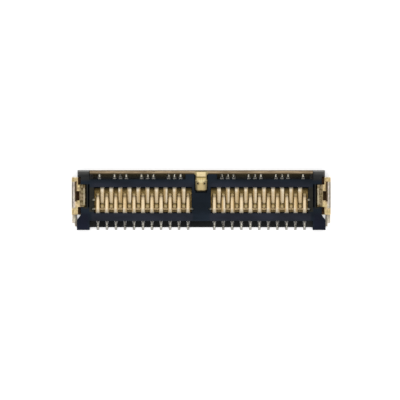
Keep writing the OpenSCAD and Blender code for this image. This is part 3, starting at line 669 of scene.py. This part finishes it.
# Contacts: (Y, Z) points from the tail to the tip, as a row stands in front. The row's own numbers are the
# first contact's place from the middle and the count on each side. The corner numbers count from the tail.
contactShape = {
    "thickness": 0.1, "bendRadius": 0.08, "arcSteps": 6, "step": 0.12, "endRound": 0.02, "endInset": 0.7,
    "sectionSteps": 20, "squareness": 5.0, "sharp": 40,
    "pitch": 0.8, "front": (1.16, 11), "rear": (1.56, 10), "jog": 0.27,
    "frontTail": [(-2.65, 0.05), (-2.25, 0.05), (-2.07, 0.33)],
    "rearTail": [(-2.63, 0.05), (-2.18, 0.05), (-2.00, 0.33)],
    "spring": [(-1.45, 0.33), (-1.45, 1.10), (-0.81, 1.10), (-0.36, 1.035), (0.00, 0.965), (0.22, 0.90)],
    "frontTip": [(0.410, 0.805), (0.48, 0.865), (0.62, 0.845)],
    "rearTip": [(0.380, 0.80), (0.45, 0.86), (0.68, 0.84)],
    "headCorner": 5, "wideBends": [(5, 0.5), (6, 1.5), (7, 1.2), (8, 0.5)],
    "widths": [(0, 0.22), (3.2, 0.22), (3.6, 0.36), (5, 0.36), (5.4, 0.33), (9, 0.30), (11, 0.28)],
    "jogShare": [(3.15, 1), (3.45, 0)],
}


def makeContacts(shape):
    for row, way in (("front", 1), ("rear", -1)):
        first, count = shape[row]
        path = shape[row + "Tail"] + shape["spring"] + shape[row + "Tip"]
        for n in range(1, 2 * count + 1):
            fromMiddle, side = (n - count - 1, 1) if n > count else (count - n, -1)
            middle = side * (first + shape["pitch"] * fromMiddle)
            jog = 0 if row == "front" else (1 - fromMiddle % 3) * shape["jog"] * side
            node = f"{row}_contact_{n:02d}"
            mesh = stripMesh(node + "_strip", shape, path, jog, middle, way)
            newObject(node + "_piece", mesh, contactMetal, node)


makeContacts(contactShape)
print("contacts made")

floorLook = {"half": 400, "pale": (0.86, 0.86, 0.86, 1), "mottled": (0.8471, 0.8471, 0.8471, 1),
             "grain": {"Size": 0.8, "Detail": 3.0},
             "shown": 0.56, "shadeReach": 0.28, "shadeEdge": (0.18, 0.54), "shadeSamples": 16}


# Floor: pale and matt; to the camera and in reflections it is white but for the shade close to the part
def makeFloor(look):
    material = bpy.data.materials.new("paleFloor")
    tree = emptyTree(material)
    fine = useGroup(tree, grain, placeInMm(tree), look["grain"])
    matt = addNode(tree, "BsdfDiffuse", {"Color": blend(tree, fine["Shade"], look["pale"], look["mottled"])})
    reach, samples = look["shadeReach"] * mm, look["shadeSamples"]
    openness = addNode(tree, "AmbientOcclusion", {"Distance": reach}, samples=samples).outputs["AO"]
    glow = ramp(tree, openness, *look["shadeEdge"], 0.0, look["shown"])
    white = addNode(tree, "Emission", {"Color": (1, 1, 1, 1), "Strength": glow})
    both = addNode(tree, "AddShader", {0: matt.outputs[0], 1: white.outputs[0]})
    rays = addNode(tree, "LightPath").outputs
    seen = calc(tree, "MAXIMUM", rays["Is Camera Ray"], rays["Is Glossy Ray"])
    seen = calc(tree, "MAXIMUM", seen, rays["Is Transmission Ray"])
    mixed = addNode(tree, "MixShader", {0: seen, 1: matt.outputs[0], 2: both.outputs[0]})
    addNode(tree, "OutputMaterial", {"Surface": mixed.outputs[0]})
    half = look["half"] * mm
    mesh = bpy.data.meshes.new("floor")
    corners = [(-half, -half, 0), (half, -half, 0), (half, half, 0), (-half, half, 0)]
    mesh.from_pydata(corners, [], [(0, 1, 2, 3)])
    mesh.materials.append(material)
    floor = bpy.data.objects.new("floor", mesh)
    bpy.context.scene.collection.objects.link(floor)


makeFloor(floorLook)

# Reflections: "front" is the direction's Y and "side" its X, from where to where, and the levels there
skyLook = {"matt": 0.70, "shown": 1.0, "front": (-0.95, -0.15, 0.30, 0.84), "side": (-0.9, 0.9, 0.62, 1.28)}


# The sky lights matt surfaces evenly, is white to the camera, and in reflections is dimmer towards the front
# and the left
def makeSky(look):
    world = bpy.data.worlds.new("softSky")
    tree = emptyTree(world)
    rays = addNode(tree, "LightPath").outputs
    towards = addNode(tree, "SeparateXYZ", {0: addNode(tree, "TexCoord").outputs["Generated"]}).outputs
    gloss = calc(tree, "MULTIPLY", ramp(tree, towards["Y"], *look["front"]),
                 ramp(tree, towards["X"], *look["side"], "LINEAR"))
    level = between(tree, rays["Is Glossy Ray"], look["matt"], gloss)
    level = calc(tree, "MAXIMUM", level, calc(tree, "MULTIPLY", rays["Is Camera Ray"], look["shown"]))
    sky = addNode(tree, "Background", {"Color": (1, 1, 1, 1), "Strength": level})
    addNode(tree, "OutputWorld", {"Surface": sky.outputs[0]})
    bpy.context.scene.world = world


makeSky(skyLook)

lampSet = {
    "rearKey": {"from": (-40, 110, 320), "size": 170, "level": 0.75},
    "frontFill": {"from": (80, -240, 180), "size": 160, "level": 0.8},
    "leftFill": {"from": (-260, -20, 150), "size": 140, "level": 1.0},
}


# Lamps: power = level * pi * area, so that the level is how bright the lamp itself looks
def makeLamps(lamps):
    for name, lamp in lamps.items():
        light = bpy.data.lights.new(name, "AREA")
        light.shape = "SQUARE"
        light.size = lamp["size"] * mm
        light.energy = lamp["level"] * math.pi * light.size ** 2
        placed = bpy.data.objects.new(name, light)
        placed.location = Vector(lamp["from"]) * mm
        placed.rotation_euler = (-placed.location).to_track_quat("-Z", "Y").to_euler()
        bpy.context.scene.collection.objects.link(placed)


makeLamps(lampSet)

cameraShot = {"middle": (-0.107, 0.008), "distance": 400, "width": 35.5, "sensor": 36, "clip": (10, 10000)}


# Camera: straight above, with the width that the picture shows at the floor
def makeCamera(shot):
    camera = bpy.data.cameras.new("topCamera")
    camera.sensor_width = shot["sensor"]
    camera.lens = shot["sensor"] * shot["distance"] / shot["width"]
    camera.clip_start, camera.clip_end = [length * mm for length in shot["clip"]]
    placed = bpy.data.objects.new("topCamera", camera)
    placed.location = Vector((*shot["middle"], shot["distance"])) * mm
    bpy.context.scene.collection.objects.link(placed)
    bpy.context.scene.camera = placed


makeCamera(cameraShot)
bpy.context.scene.view_settings.view_transform = "Standard"
print("floor, sky, lamps and camera placed")

bpy.context.view_layer.update()
